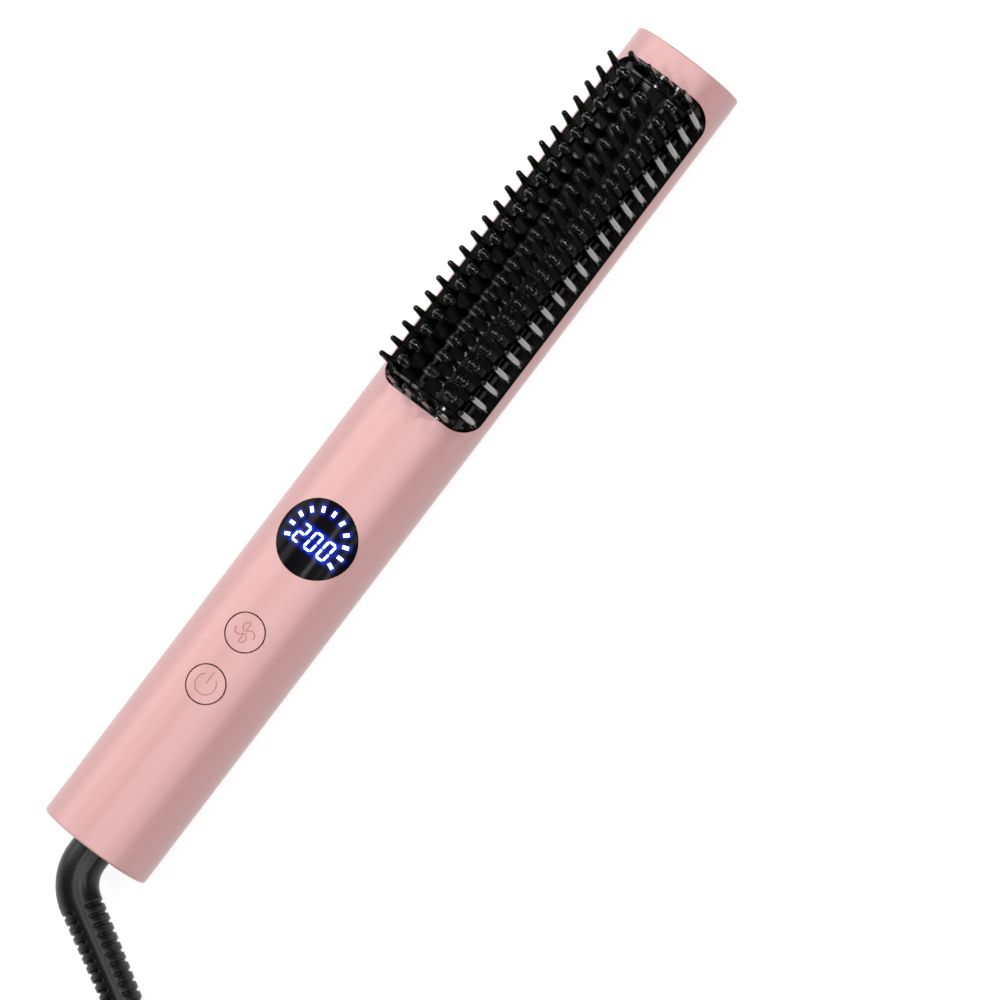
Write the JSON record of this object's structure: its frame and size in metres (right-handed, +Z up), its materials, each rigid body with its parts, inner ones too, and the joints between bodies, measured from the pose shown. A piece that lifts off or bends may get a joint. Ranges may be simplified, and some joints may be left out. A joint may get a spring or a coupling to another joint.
{
  "type": "heated hair straightener brush",
  "caption": "Corded heated hair straightening brush: rose pink tube with a black heated comb head, round display, push buttons and a vented back.",
  "frame": {"origin": "on the surface the tube lies on, below the middle of the tube's length; the cord, its strain relief and plug aren't counted", "axes": "+X along the tube towards the bristled tip, +Z up through the bristles, tube lying on its vented back"},
  "size_m": [0.4073, 0.1019, 0.0535],
  "materials": {
    "shell": "satin rose pink",
    "covers": "satin rose pink",
    "plugs": "matt rose pink",
    "buttons": "satin rose pink",
    "black_gloss": "gloss black",
    "black_matt": "matt black",
    "relief": "satin black",
    "heated": "gloss black coating",
    "lens": "tinted gloss",
    "display": "matt",
    "board": "solder mask",
    "steel": "plain",
    "clamp": "plain",
    "ceramic_white": "plain",
    "amber": "amber sheet",
    "mica": "mica",
    "white": "plain",
    "yellow": "plain",
    "copper": "enamelled",
    "cord": "matt black",
    "pins": "nickel plated",
    "leads": "silicone"
  },
  "bodies": {
    "brush": {"body_tube": "shell", "tip_cover": "covers", "cord_cover": "covers", "case_screws": "steel", "screw_plugs": "plugs", "bristle_frame": "black_gloss", "guard_bristles": "black_gloss", "heating_plate": "heated", "heating_fins": "heated", "tooth_tips": "black_gloss", "insulation_sheet": "mica", "heating_elements": "ceramic_white", "heater_clamp": "clamp", "temperature_sensor": "white", "thermal_fuse": "white", "heater_tray": "black_matt", "heat_shield": "amber", "chassis": "black_matt", "power_board": "board", "panel_board": "board", "terminal_block": "white", "film_capacitor": "yellow", "transformer": "copper", "triac": "black_matt", "controller_chip": "black_matt", "smoothing_capacitor": "black_matt", "heat_sink": "clamp", "board_header": "black_matt", "display_lens": "lens", "display_module": "display", "power_switch": "black_matt", "fan_switch": "black_matt", "motor_mount": "black_matt", "fan_motor": "steel", "strain_relief": "relief", "cord_tail": "cord", "cord_grip": "black_matt", "supply_leads": "leads", "heater_leads": "leads", "cord": "cord", "cord_coil": "cord", "coil_tie": "black_matt", "plug_body": "relief", "plug_blades": "pins"},
    "power_button": {"power_button": "buttons", "power_switch_plunger": "white"},
    "fan_button": {"fan_button": "buttons", "fan_switch_plunger": "white"},
    "impeller": {"fan_impeller": "white", "motor_shaft": "steel"}
  },
  "joints": [
    {"name": "power_press", "type": "slide", "parent": "brush", "child": "power_button", "axis": [0, 0, -1], "range_m": [0, 0.0006], "stiffness_N_per_m": 600},
    {"name": "fan_press", "type": "slide", "parent": "brush", "child": "fan_button", "axis": [0, 0, -1], "range_m": [0, 0.0006], "stiffness_N_per_m": 600},
    {"name": "impeller_spin", "type": "hinge", "parent": "brush", "child": "impeller", "pos_m": [0.0053, 0, 0.0175], "axis": [1, 0, 0], "continuous": true}
  ]
}
